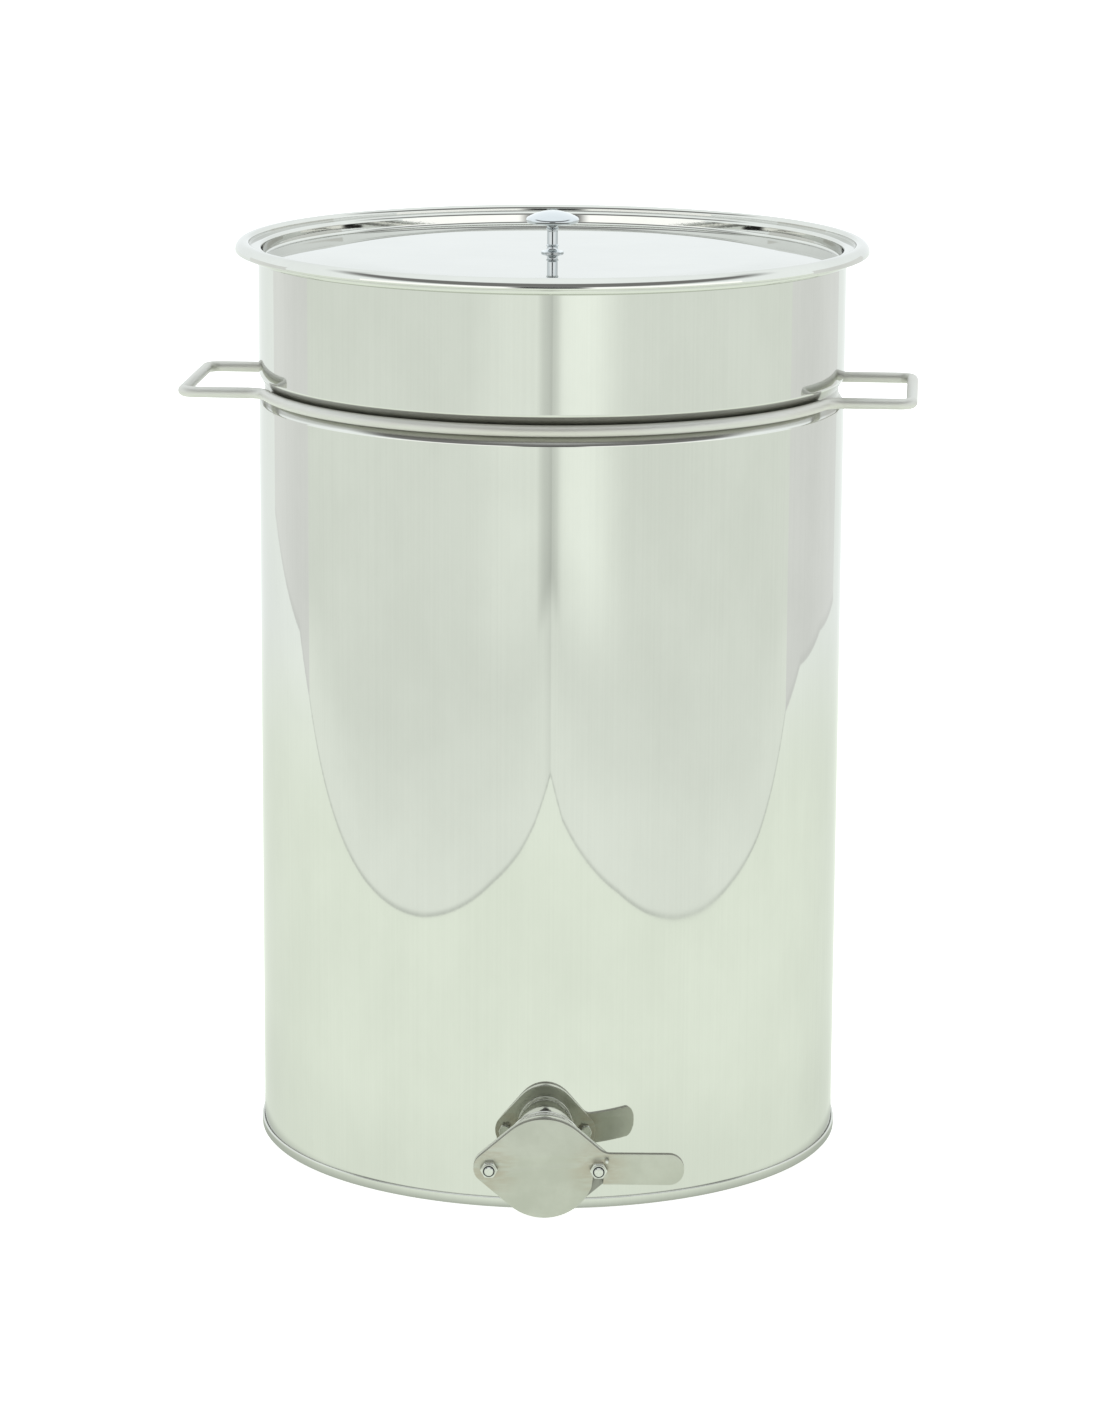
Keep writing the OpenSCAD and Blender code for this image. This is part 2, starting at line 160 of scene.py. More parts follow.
# %% Glowing cards
def glow(name, strength_of, tint):
    """A surface that gives light. strength_of makes its strength from the place on it, in metres, and tint is
    its colour, or makes that from the place too."""
    material = bpy.data.materials.new(name)
    material.use_nodes = True
    tree = material.node_tree
    tree.nodes.clear()
    x, y, z = split(node(tree, "ShaderNodeTexCoord", output=3))
    hue = tint(x, y, z) if callable(tint) else tint[:3]
    colour = node(tree, "ShaderNodeVectorMath", {"operation": "SCALE"}, {0: hue, "Scale": strength_of(x, y, z)})
    shine = node(tree, "ShaderNodeEmission", None, {"Color": colour})
    output = tree.nodes.new("ShaderNodeOutputMaterial")
    tree.links.new(shine.socket, output.inputs["Surface"])
    return material


def only_reflected(piece):
    piece.visible_camera = piece.visible_shadow = piece.visible_diffuse = False


def card(name, foot, base, height, material):
    """A card whose lower edge follows the foot's points at the height base, pulled straight up."""
    bm = bmesh.new()
    points = [bmesh.ops.create_vert(bm, co=(x, y, base))["vert"][0] for x, y in foot]
    line = [bm.edges.new(pair) for pair in zip(points, points[1:])]
    pulled = bmesh.ops.extrude_edge_only(bm, edges=line)["geom"]
    bmesh.ops.translate(bm, vec=(0, 0, height), verts=[v for v in pulled if isinstance(v, bmesh.types.BMVert)])
    bmesh.ops.scale(bm, vec=(MM, MM, MM), verts=bm.verts)
    only_reflected(stage_piece(bm, name, material))


def stage_piece(bm, name, material):
    mesh = bpy.data.meshes.new(name)
    bm.to_mesh(mesh)
    bm.free()
    mesh.materials.append(material)
    piece = bpy.data.objects.new(name, mesh)
    bpy.context.scene.collection.objects.link(piece)
    return piece


print("cards ready")

# %% [markdown]
# A card is not evenly lit. The front ones have a shadow line along the floor, grow a little lighter
# towards their top, and leave a soft dark gap where they meet, with a thin line down its middle. A picture
# could be painted for each card, but a few smooth steps give those changes and are easy to correct.

# %% How the cards are lit
PANEL_LIGHT = 1.5


def front_strength(x, y, z):
    foot = 0.70 + 0.38 * step(z, 0.0, 0.006) - 0.09 * step(z, 0.02, 0.16)
    lighter = (0.10 + 0.15 * step(x, 0.0, 0.2)) * (1 - step(x * x, 0.05, 0.22)) * step(z, 0.14, 0.30)
    gap = 0.25 * (1 - step(x * x, 0.0005, 0.011)) * step(z, 0.15, 0.20)
    top_edge = 0.40 * step(z, 0.53, 0.545)
    # painted shade beside the joint of the front cards, soft on the left and sharp at the joint
    joint_shade = 0.10 * step(x, -0.05, 0.022) * (1 - step(x, 0.0225, 0.0235))
    return foot + lighter - gap + top_edge - joint_shade


def side_strength(x, y, z):
    return 0.85 + 0.09 * step(z, 0.0, 0.015) + 0.10 * step(y, 0.7, 1.6)


def camera_side_strength(x, y, z):
    return PANEL_LIGHT - 1.47 * (1 - step(x * x, 0.04, 0.21))


front_card = glow("front card", front_strength, rgb(0.945, 1.0, 0.935))
side_card = glow("side card", side_strength, rgb(0.98, 1.0, 0.99))
panel = glow("panel", lambda x, y, z: PANEL_LIGHT, WHITE)
camera_side = glow("camera side", camera_side_strength, WHITE)
print("card finishes:", front_card.name, side_card.name, panel.name, camera_side.name)

# %% [markdown]
# Each card is a line of points on the floor, pulled up. In a round mirror the line becomes a long arc, and
# the points are chosen so that the arcs on the drum hang where they should.

# %% Cards, panels and the dark room
FRONT_H, SIDE_H, PANEL_BASE, PANEL_H = 560, 900, 500, 340
meet, left_end, right_end = (23, -1440), (-1560, 375), (1540, 310)
gap_left, gap_right = (-480, -1620), (480, -1620)

card("card front left", [left_end, (-1285, 71), (-1121, -111), (-1003, -241), (-832, -430), (-640, -639),
                         (-472, -836), (-349, -980), (-196, -1134), (-106, -1243), meet],
     0, FRONT_H, front_card)
card("card front right", [meet, (113, -1262), (205, -1156), (286, -1068), (426, -916), (537, -767), (644, -633),
                          (762, -499), (909, -342), (1099, -117), (1269, 52), right_end],
     0, FRONT_H, front_card)
card("card left", [left_end, (-1790, 694), (-1829, 1824)], 0, SIDE_H, side_card)
card("card right", [right_end, (1640, 647), (1471, 1188), (1134, 1651)], 0, SIDE_H, side_card)
card("camera side", [gap_left, gap_right], 440, 400, camera_side)
card("panel left", [(-1700, -700), gap_left], PANEL_BASE, PANEL_H, panel)
card("panel right", [gap_right, (1700, -700)], PANEL_BASE, PANEL_H, panel)

# %% [markdown]
# The floor is one wide disc, made twice. The camera sees a matte white one, lit until it is as bright as the
# paper behind it. The steel sees a plain glowing one instead, so that its tone in the reflections can be set
# by itself: a painted shadow right at the tank's foot, faintly green near it and paler far off.

# %% Floor
def floor_disc(name, material):
    bm = bmesh.new()
    bmesh.ops.create_circle(bm, cap_ends=True, segments=96, radius=40)
    return stage_piece(bm, name, material)


def floor_strength(x, y, z):
    away = x * x + y * y
    # painted shadow: the glow is darker under and right round the tank's foot
    return 0.62 + 0.44 * step(away, 0.0405, 0.049) + 0.07 * step(away, 0.05, 0.20)


def floor_tint(x, y, z):
    return blend(step(x * x + y * y, 1.0, 4.0), rgb(0.93, 1.0, 0.895), rgb(1.01, 1.06, 1.04))


white_floor = bpy.data.materials.new("white floor")
white_floor.use_nodes = True
shader = white_floor.node_tree.nodes["Principled BSDF"]
for socket, value in (("Base Color", rgb(0.80, 0.80, 0.80)), ("Roughness", 0.9), ("Specular IOR Level", 0.1),
                      ("Emission Color", rgb(0.7, 0.7, 0.7)), ("Emission Strength", 1.0)):
    shader.inputs[socket].default_value = value
floor_disc("floor", white_floor).visible_glossy = False
only_reflected(floor_disc("floor shine", glow("floor glow", floor_strength, floor_tint)))

# %% [markdown]
# The world is white paper behind and a white ceiling above. Between them, on the camera's side, the room is
# dim, and that is what the dark line along the lid's rolled edge shows. A real room would need walls; here
# the direction of the ray is enough to say which part of the room it meets.

# %% World
world = bpy.data.worlds.new("studio")
bpy.context.scene.world = world
world.use_nodes = True
tree = world.node_tree
north, height = split(node(tree, "ShaderNodeTexCoord", output=0), "yz")
dim = step(2.0 * height - north, 0.95, 1.45) * step(height, 0.13, 0.19) * (1 - step(height, 0.74, 0.84))
background = tree.nodes["Background"]
tree.links.new(blend(dim, rgb(1.17, 1.22, 1.24), rgb(0.24, 0.24, 0.24)).socket, background.inputs["Color"])
background.inputs["Strength"].default_value = 1.0
print("world:", world.name, "with", len(tree.nodes), "nodes")

# %% [markdown]
# Two soft lamps stand high on either side in front. They are kept out of reflections, because the cards and
# the world make those, so they only light the floor and what is not bare metal, such as the seal.

# %% Lamps
def lamp(name, place, power, aim=(0, 0, 0.4), size=0.9):
    light = bpy.data.lights.new(name, "AREA")
    light.shape, light.size, light.energy = "DISK", size, power
    holder = bpy.data.objects.new(name, light)
    holder.location = Vector(place)
    holder.rotation_euler = (Vector(aim) - Vector(place)).to_track_quat("-Z", "Y").to_euler()
    holder.visible_glossy = False
    bpy.context.scene.collection.objects.link(holder)


lamp("lamp left", (-1.5, -1.7, 1.9), 7)
lamp("lamp right", (1.6, -1.6, 1.9), 6)
bpy.context.scene.view_settings.view_transform = "Standard"
bpy.context.scene.view_settings.look = "None"

# %% [markdown]
# ## Metal finishes
# Every finish here is a Principled shader with a little noise in it. `metal` makes the material and leaves
# the sockets to a function of its own for each finish, and `noise` stretches a noise along the axes.

# %% A metal
def metal(name, make):
    """A material whose Principled shader is filled in by make(tree, place), a socket's name to its value."""
    material = bpy.data.materials.new(name)
    material.use_nodes = True
    tree = material.node_tree
    shader = tree.nodes["Principled BSDF"]
    shader.inputs["Metallic"].default_value = 1.0
    place = node(tree, "ShaderNodeTexCoord", output=3)
    for socket, value in make(tree, place).items():
        if isinstance(value, Wire):
            tree.links.new(value.socket, shader.inputs[socket])
        else:
            shader.inputs[socket].default_value = value
    return material


def noise(tree, place, stretch, detail=3.0, roughness=0.55, shift=(0, 0, 0)):
    spot = node(tree, "ShaderNodeMapping", None, {"Vector": place, "Scale": stretch, "Location": shift})
    return node(tree, "ShaderNodeTexNoise", None,
                {"Vector": spot, "Scale": 1.0, "Detail": detail, "Roughness": roughness})


def bump(tree, strength, distance, height, **more):
    return node(tree, "ShaderNodeBump", None, {"Strength": strength, "Distance": distance, "Height": height, **more})


print("metal ready")

# %% [markdown]
# Bright annealed sheet keeps the fine lines of the rolling mill, all running one way. A noise that is
# stretched along that way gives them, and it is let into the colour and the roughness only a little,
# because the sheet is nearly a mirror. Cloudier noise adds faint patches and the wiped look of handled
# steel, and broad shallow waves bend the reflections as thin sheet does. The wall's groove, where the bar
# lies, is painted darker and made rougher: painted shade under the bar, and some grime where no cloth reaches.

# %% Bright sheet
# heights of the groove's painted shade and grime, under the bar
GROOVE_SHADE_AND_GRIME = (0.5150, 0.5335)


def bright_sheet(name, along, groove_shade_and_grime=None):
    """Bright sheet whose mill lines run along the given axis, 0, 1 or 2, with painted shade and grime between two
    heights.
    """
    fine, broad = [850.0] * 3, [160.0] * 3
    fine[along], broad[along] = 3.0, 1.5

    def make(tree, place):
        lines = noise(tree, place, fine, 2.0)
        bands = noise(tree, place, broad, 2.0, shift=(3, 7, 1))
        wiped = noise(tree, place, (9, 9, 7), 4.0, 0.6, (5, 1, 2))
        waves = noise(tree, place, (5, 5, 3), 1.0, 0.4, (8, 3, 5))
        tone = step(lines * 0.7 + bands * 0.3, 0.3, 0.7)
        patches = step(noise(tree, place, (15, 15, 9), 5.0, 0.6, (4, 9, 6)), 0.3, 0.7)
        colour = blend(patches, blend(tone, rgb(0.641, 0.649, 0.611), rgb(0.655, 0.663, 0.625)),
                       blend(tone, rgb(0.675, 0.683, 0.645), rgb(0.689, 0.697, 0.659)))
        rough = 0.015 + 0.025 * step(wiped, 0.5, 0.75) + 0.02 * lines
        if groove_shade_and_grime:
            low, high, soft = *groove_shade_and_grime, 0.0015
            z, = split(place, "z")
            shade_and_grime = step(z, low, low + soft) * (1 - step(z, high - soft, high))
            # painted shade under the bar, with some grime: the groove is darkened in the colour
            colour = blend(shade_and_grime * (0.6 + 0.4 * wiped), colour, rgb(0.36, 0.36, 0.325))
            rough = rough + 0.15 * shade_and_grime
        grain = bump(tree, 0.004, 0.0005, lines, Normal=bump(tree, 0.5, 0.0004, waves))
        return {"Base Color": colour, "Roughness": rough, "Normal": grain, "Specular Tint": rgb(0.85, 0.85, 0.85)}

    return metal(name, make)


wall_steel = bright_sheet("bright sheet upright", 2, GROOVE_SHADE_AND_GRIME)
lid_steel = bright_sheet("bright sheet flat", 0)
print("sheet finishes:", wall_steel.name, lid_steel.name)

# %% [markdown]
# The bar and the gate's plates are duller. They are ground or tumbled, so they get a rougher, slightly
# mottled finish. The plates also keep a faint brown round the bolts, where honey and water stay. The
# flange's front face gets painted shade, as seen through the flap's slot, and the flap's cut edges get
# painted shade along the outline.

# %% Bar and plates
GATE_Z, BOLT_X = 41.5, 36.0


def make_bar(tree, place):
    mottle = noise(tree, place, (140, 140, 140), 4.0)
    warm = noise(tree, place, (7, 7, 7), 2.0, shift=(2, 4, 0))
    colour = blend(step(warm, 0.45, 0.7), rgb(0.645, 0.645, 0.61), rgb(0.615, 0.605, 0.56))
    return {"Base Color": colour, "Metallic": 0.85, "Roughness": 0.44 + 0.10 * mottle,
            "Normal": bump(tree, 0.08, 0.0003, mottle)}


def make_plate(tree, place):
    cloud = noise(tree, place, (45, 45, 45), 5.0, 0.6)
    streak = noise(tree, place, (60, 60, 300), 3.0, 0.6, (1, 8, 3))
    grit = noise(tree, place, (900, 900, 900), 2.0)
    x, z = split(place, "xz")
    out, rise = abs(x) - BOLT_X * MM, z - GATE_Z * MM
    near_bolt = 1 - step((out * out + rise ** 2.0) ** 0.5, 0.006, 0.026)
    pale = blend(step(cloud, 0.35, 0.7), rgb(0.475, 0.482, 0.430), rgb(0.525, 0.532, 0.480))
    colour = blend(near_bolt * step(streak, 0.30, 0.62) * 0.7, pale, rgb(0.43, 0.385, 0.315))
    return {"Base Color": colour, "Roughness": 0.27 + 0.12 * cloud, "Normal": bump(tree, 0.10, 0.0002, grit)}


# painted shade: the flange's front face, seen only through the flap's slot, is coloured dark
def make_flange_face_shade(tree, place):
    sweep = noise(tree, place, (420, 60, 90), 3.0, 0.6, (4, 0, 6))
    return {"Base Color": blend(sweep, rgb(0.20, 0.20, 0.18), rgb(0.36, 0.36, 0.33)),
            "Roughness": 0.34 + 0.12 * sweep}


# painted shade: the flap's cut edges are coloured darker, as shade along its outline
def make_cut_edge_shade(tree, place):
    drag = noise(tree, place, (1200, 120, 1200), 3.0)
    return {"Base Color": blend(drag, rgb(0.22, 0.21, 0.19), rgb(0.34, 0.33, 0.30)),
            "Roughness": 0.32 + 0.14 * drag}


bar_steel = metal("satin bar", make_bar)
plate_steel = metal("satin plate", make_plate)
flange_face_shade = metal("flange face shade", make_flange_face_shade)
cut_edge_shade = metal("cut edge", make_cut_edge_shade)
print("dull finishes:", bar_steel.name, plate_steel.name, flange_face_shade.name, cut_edge_shade.name)

# %% [markdown]
# The pipe, the fasteners and the knob are brighter. A drawn and turned pipe has fine rings round it, bolts
# and nuts are a little worn, and chrome is almost a perfect mirror with a cool tone.

# %% Pipe, fasteners and chrome
def make_pipe(tree, place):
    rings = noise(tree, place, (30, 1500, 30), 3.0)
    return {"Base Color": blend(rings, rgb(0.68, 0.68, 0.65), rgb(0.76, 0.76, 0.73)),
            "Roughness": 0.08 + 0.08 * rings}


def make_fastener(tree, place):
    worn = noise(tree, place, (220, 220, 220), 4.0)
    return {"Base Color": blend(step(worn, 0.4, 0.7), rgb(0.66, 0.67, 0.64), rgb(0.55, 0.55, 0.51)),
            "Roughness": 0.14 + 0.16 * worn}


def make_chrome(tree, place):
    haze = noise(tree, place, (60, 60, 60), 3.0)
    return {"Base Color": blend(haze, rgb(0.60, 0.635, 0.655), rgb(0.66, 0.695, 0.71)),
            "Roughness": 0.015 + 0.03 * haze}


pipe_steel = metal("drawn pipe", make_pipe)
fastener_steel = metal("fastener steel", make_fastener)
knob_chrome = metal("chrome", make_chrome)
print("bright finishes:", pipe_steel.name, fastener_steel.name, knob_chrome.name)

# %% [markdown]
# Two pieces are not metal: the pale rubber seal between flange and flap, and the dark nylon rings that stop
# the nuts from working loose. They use the same function with the metal turned off, and noise for dust and
# scuffs.

# %% Seal and lock rings
def make_seal(tree, place):
    dust = noise(tree, place, (300, 300, 300), 4.0)
    return {"Metallic": 0.0, "Base Color": blend(dust, rgb(0.72, 0.70, 0.64), rgb(0.80, 0.79, 0.74)),
            "Roughness": 0.55 + 0.2 * dust}


def make_nylon(tree, place):
    scuff = noise(tree, place, (400, 400, 400), 3.0)
    return {"Metallic": 0.0, "Base Color": blend(scuff, rgb(0.020, 0.022, 0.028), rgb(0.045, 0.047, 0.052)),
            "Roughness": 0.40 + 0.2 * scuff}


seal_rubber = metal("seal rubber", make_seal)
lock_nylon = metal("lock nylon", make_nylon)
print("soft finishes:", seal_rubber.name, lock_nylon.name)

# %% [markdown]
# ## Bent sheet and bar
# A bending machine feeds a strip straight on, stops, bends it round a former and feeds again. The Bender
# does the same to a bmesh: `feed` and `bend` both use the spin operator, once with a shift and once with
# an angle. Led by a single vertex it draws a sheet's section, and led by a ring of edges a bar. A list of
# points would do too, but then every bend's radius would have to be worked out by hand.

# %% Bender
class Bender:
    def __init__(self, bm, front, place, heading, axis, fine=7):
        self.bm, self.front, self.fine = bm, front, fine
        self.place, self.heading, self.axis = Vector(place), Vector(heading), Vector(axis)

    def feed(self, length):
        # short lengths at both ends keep the shading of a bend off the long flat
        hold = 0.4
        for part in ((hold, length - 2 * hold, hold) if length > 4 * hold else (length,)):
            if part > 1e-6:
                self.front = bmesh.ops.spin(self.bm, geom=self.front, cent=self.place, axis=self.axis, angle=0.0,
                                            dvec=self.heading * part, steps=1)["geom_last"]
                self.place += self.heading * part

    def bend(self, degrees, radius, steps=None):
        side = self.axis.cross(self.heading) * math.copysign(1, degrees)
        middle = self.place + side * radius
        self.front = bmesh.ops.spin(self.bm, geom=self.front, cent=middle, axis=self.axis, dvec=(0, 0, 0),
                                    angle=math.radians(degrees),
                                    steps=steps or max(2, round(abs(degrees) / self.fine)))["geom_last"]
        turn = Matrix.Rotation(math.radians(degrees), 3, self.axis)
        self.place = middle + turn @ (self.place - middle)
        self.heading = turn @ self.heading

    def follow(self, corners):
        """Feeds and bends along corners, each (across, height, bend radius), from the second one on."""
        spot = [Vector((x, 0, z)) for x, z, r in corners]
        used = 0.0
        for i in range(1, len(corners) - 1):
            reach, onward, radius = spot[i] - spot[i - 1], spot[i + 1] - spot[i], corners[i][2]
            turn = math.degrees(math.atan2(reach.cross(onward).dot(self.axis), reach.dot(onward)))
            setback = radius * math.tan(math.radians(abs(turn)) / 2)
            self.feed(reach.length - used - setback)
            # a wide bend turns little, and still gets a dozen steps
            self.bend(turn, radius, 12 if radius > 100 else None)
            used = setback
        self.feed((spot[-1] - spot[-2]).length - used)


print("bender ready")

# %% [markdown]
# A finished bmesh becomes a piece in the same way each time: it gets a mesh, a finish and smooth shading with
# sharp edges kept, and then it is told which body it rides on, and the solids it stands for are hidden.

# %% From a bmesh to a piece
def smooth(mesh, angle=34):
    mesh.polygons.foreach_set("use_smooth", [True] * len(mesh.polygons))
    mesh.set_sharp_from_angle(angle=math.radians(angle))


def dress(bm, name, material, body, slot, *nodes):
    """Turns a bmesh in metres into a finished piece that rides on a body and hides the CAD nodes it stands for."""
    mesh = bpy.data.meshes.new(name)
    bm.to_mesh(mesh)
    bm.free()
    mesh.materials.append(material)
    piece = bpy.data.objects.new(name, mesh)
    bpy.context.scene.collection.objects.link(piece)
    smooth(mesh)
    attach(piece, body)
    if nodes:
        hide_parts(*nodes)
    return piece


def piece_from(bm, name, material, body, slot, *nodes):
    """The same from a bmesh in millimetres."""
    bmesh.ops.scale(bm, vec=(MM, MM, MM), verts=bm.verts)
    return dress(bm, name, material, body, slot, *nodes)


print("dressing ready")

# %% [markdown]
# Wall, bottom and lid are all sheet, so they share their steps: a section is bent, spun once round the
# upright axis, and given its thickness, half to each side, by a Solidify modifier. Drawing both faces of the
# sheet would also work, but the modifier keeps the thickness even through every bend.

# %% Sheet
SHEET = 0.8


def spun(bm, steps, merge):
    """Spins a section once round, closes its seam and its poles, and turns its faces outwards."""
    bmesh.ops.spin(bm, geom=bm.verts[:] + bm.edges[:], cent=(0, 0, 0), axis=(0, 0, 1), angle=2 * math.pi,
                   steps=steps, use_merge=True)
    bmesh.ops.remove_doubles(bm, verts=bm.verts, dist=merge)
    bmesh.ops.recalc_face_normals(bm, faces=bm.faces)
    return bm


def section(corners, heading, fine=7):
    """Bends the line that a section follows, from its first corner to its last."""
    start = (corners[0][0], 0, corners[0][1])
    bm = bmesh.new()
    lead = bmesh.ops.create_vert(bm, co=start)["vert"]
    Bender(bm, lead, start, heading, (0, -1, 0), fine).follow(corners)
    return bm


def sheet_section(corners, heading):
    return spun(section(corners, heading), 256, 1e-4)


def settle(piece):
    """Keeps what a piece's modifiers make as its mesh."""
    bpy.context.view_layer.update()
    finished = bpy.data.meshes.new_from_object(piece.evaluated_get(bpy.context.evaluated_depsgraph_get()))
    piece.modifiers.clear()
    piece.data = finished
    smooth(finished)


def thicken(piece, thickness):
    wall = piece.modifiers.new("sheet", "SOLIDIFY")
    wall.thickness, wall.offset, wall.use_even_offset = thickness * MM, 0.0, True
    settle(piece)


print("sheet ready,", SHEET, "mm")

# %% [markdown]
# ## The drum's wall
# The wall is one strip: up from the foot, in and out again for the groove, then rolled outwards into the
# rim. A cylinder with loops moved in would look much the same from afar, but true bends give the groove
# and the rim the right lights. Level cuts round the outlet keep the faces there small, because long ones
# would bend the gate's reflection.

# %% Drum wall
wall_r, groove_r, curl_r, bend_r = 199.6, 195.6, 3.1, 3
foot_z, groove_z, drum_top = 1.4, 524.0, 618.6
groove_half, groove_floor_half = 9.8, 3
curl_out, curl_low = wall_r + 2 * curl_r, drum_top - 2 * curl_r
bm = sheet_section([
    (wall_r, foot_z, 0), (wall_r, groove_z - groove_half, bend_r), (groove_r, groove_z - groove_floor_half, bend_r),
    (groove_r, groove_z + groove_floor_half, bend_r), (wall_r, groove_z + groove_half, bend_r),
    (wall_r, drum_top, curl_r), (curl_out, drum_top, curl_r), (curl_out, curl_low, curl_r),
    (wall_r + curl_r - 0.6, curl_low, 0)], (0, 0, 1))
for height in range(8, 81, 6):
    bmesh.ops.bisect_plane(bm, geom=bm.verts[:] + bm.edges[:] + bm.faces[:], plane_co=(0, 0, height),
                           plane_no=(0, 0, 1))
drum = piece_from(bm, "wall_sheet", wall_steel, "tank", "bright_steel", "drum_wall")
thicken(drum, SHEET)
print("wall faces:", len(drum.data.polygons))

# %% [markdown]
# The outlet's hole is drilled as on the real wall: a cylinder across the sheet is taken away by a Boolean.
# It comes after the thickness, so that the hole's edge is as thick as the sheet.

# %% Outlet hole
hole_r = 25.55
bm = bmesh.new()
bmesh.ops.create_cone(bm, cap_ends=True, segments=96, radius1=hole_r * MM, radius2=hole_r * MM, depth=0.1,
                      matrix=Matrix.Translation((0, -0.2, GATE_Z * MM)) @ Matrix.Rotation(math.pi / 2, 4, "X"))
cutter_mesh = bpy.data.meshes.new("outlet cutter")
bm.to_mesh(cutter_mesh)
bm.free()
cutter = bpy.data.objects.new("outlet_cutter", cutter_mesh)
bpy.context.scene.collection.objects.link(cutter)
hole = drum.modifiers.new("outlet", "BOOLEAN")
hole.object, hole.operation, hole.solver = cutter, "DIFFERENCE", "EXACT"
settle(drum)
bpy.data.objects.remove(cutter)
print("wall faces with the hole:", len(drum.data.polygons))

# %% [markdown]
# ## The bottom and its seam
# The bottom plate turns down at its edge, passes under the wall's foot and folds back on itself outside,
# which is the pale band that the tank stands on. A plain ring could stand for that band, but the fold is
# what holds the bottom on, and its edge shows.

# %% Drum bottom
plate_z, inside_r, outside_r, fold_r = 8.6, 198.75, 200.45, 201.35
under_z, seam_top, fold_end = 0.4, 6.6, 1.6
seam_bend, fold_bend = 0.6, 0.45
bm = sheet_section([
    (0, plate_z, 0), (inside_r, plate_z, 2), (inside_r, under_z, seam_bend), (outside_r, under_z, seam_bend),
    (outside_r, seam_top, fold_bend), (fold_r, seam_top, fold_bend), (fold_r, fold_end, 0)], (1, 0, 0))
bottom = piece_from(bm, "bottom_sheet", wall_steel, "tank", "bright_steel", "drum_bottom")
thicken(bottom, SHEET)
print("bottom faces:", len(bottom.data.polygons))

# %% [markdown]
# ## The lid
# From the middle outwards the lid is a flat plate that falls a little towards its edge, a step up along the
# drum's inside, a narrow ledge on the rim, and a rolled edge that hangs over it. It is pressed from one
# sheet, so it is one section here too.

# %% Lid
plate_mid, plate_edge, ledge_z, roll_top, lip_z = 614.2, 610.6, 619.7, 623.6, 617.0
ledge_r, lip_in = 206.0, 211.1
bm = sheet_section([
    (0, plate_mid, 0), (146.1, plate_mid, 300),                     # flat, then a very wide bend down
    (197.13, plate_edge, 2.4), (197.85, ledge_z, 2),                # the step along the drum's inside
    (ledge_r, ledge_z, 0.6), (ledge_r, roll_top, 2.4),              # the ledge on the rim
    (214.85, roll_top, 5.6), (215.2, lip_z, 0.8), (lip_in, lip_z, 0)],  # the rolled edge and its lip
    (1, 0, 0))
lid = piece_from(bm, "lid_sheet", lid_steel, "lid", "bright_steel", "lid_pan")
thicken(lid, SHEET)
print("lid faces:", len(lid.data.polygons))

# %% [markdown]
# ## The knob
# The knob is turned from solid bar, so its section is followed from the middle of the foot, up the
# outside past two small beads, to the crown of the head, and then spun. Discs and balls could be stacked
# instead, but chrome shows every seam. The dome's radius is worked out so that it meets the head's rounded
# edge smoothly.

# %% Knob
knob_z, head_r, foot_r, neck_r, bead_r = 614.6, 18, 7.7, 3.7, 4.5
edge_r, edge_in, edge_z, crown_z, head_low = 2.2, 15.8, 22.4, 28.8, 20.2
dome_h = crown_z - edge_z
dome_r = (edge_in ** 2 + dome_h ** 2 - edge_r ** 2) / (2 * (dome_h - edge_r))
dome_angle = math.asin(edge_in / (dome_r - edge_r))
bm = section([
    (0, 0, 0), (foot_r, 0, 0.3), (foot_r, 1.2, 0.5), (neck_r, 1.2, 2.4),            # flared foot
    (neck_r, 4.2, 0.3), (bead_r, 5.0, 0.6), (neck_r, 5.8, 0.3),                     # lower bead
    (neck_r, 15.6, 0.3), (bead_r, 16.4, 0.6), (neck_r, 17.1, 0.2),                  # upper bead
    (neck_r, head_low, 2.9), (head_r, head_low, edge_r),                            # under the head
    (head_r, edge_z + edge_r * math.tan(math.pi / 4 - dome_angle / 2), edge_r),     # its edge
    (dome_r * math.tan(dome_angle / 2), crown_z, dome_r), (0, crown_z, 0)],         # the dome
    (1, 0, 0), fine=3)
spun(bm, 96, 1e-3)
bmesh.ops.translate(bm, vec=(0, 0, knob_z), verts=bm.verts)
knob = piece_from(bm, "turned_knob", knob_chrome, "lid", "polished", "lid_knob")
print("knob faces:", len(knob.data.polygons))

# %% [markdown]
# ## The carrying ring
# One round bar goes all the way round. The Bender starts at the front with a ring of edges, follows the
# groove, and at each side turns out, round three sides of the handle and back into the groove. A curve with
# a round bevel also makes a bar, but its corners would be only nearly arcs.

# %% Carrying ring
bar_r, ring_r, arm_bend, corner = 3.75, 199.8, 15.0, 9.0
handle_x, handle_w, ring_turn = 246.2, 120, -4
ring_steps, bend_steps = 48, 14
bend_y = handle_w / 2 + arm_bend
bend_x = math.sqrt((ring_r + arm_bend) ** 2 - bend_y ** 2)
leave = math.degrees(math.atan2(bend_y, bend_x))
front = (0, -ring_r, groove_z)
bm = bmesh.new()
bmesh.ops.create_circle(bm, segments=24, radius=bar_r,
                        matrix=Matrix.Translation(front) @ Matrix.Rotation(math.pi / 2, 4, "Y"))
bar = Bender(bm, bm.verts[:] + bm.edges[:], front, (1, 0, 0), (0, 0, 1))
for handle in ("right", "left"):
    bar.bend(90 - leave, ring_r, ring_steps)
    bar.bend(leave - 90, arm_bend, bend_steps)
    bar.feed(handle_x - corner - bend_x)
    bar.bend(90, corner, bend_steps)
    bar.feed(handle_w - 2 * corner)
    bar.bend(90, corner, bend_steps)
    bar.feed(handle_x - corner - bend_x)
    bar.bend(leave - 90, arm_bend, bend_steps)
    bar.bend(90 - leave, ring_r, ring_steps)
    print("bent the", handle, "handle")
bmesh.ops.remove_doubles(bm, verts=bm.verts, dist=0.02)
bmesh.ops.recalc_face_normals(bm, faces=bm.faces)
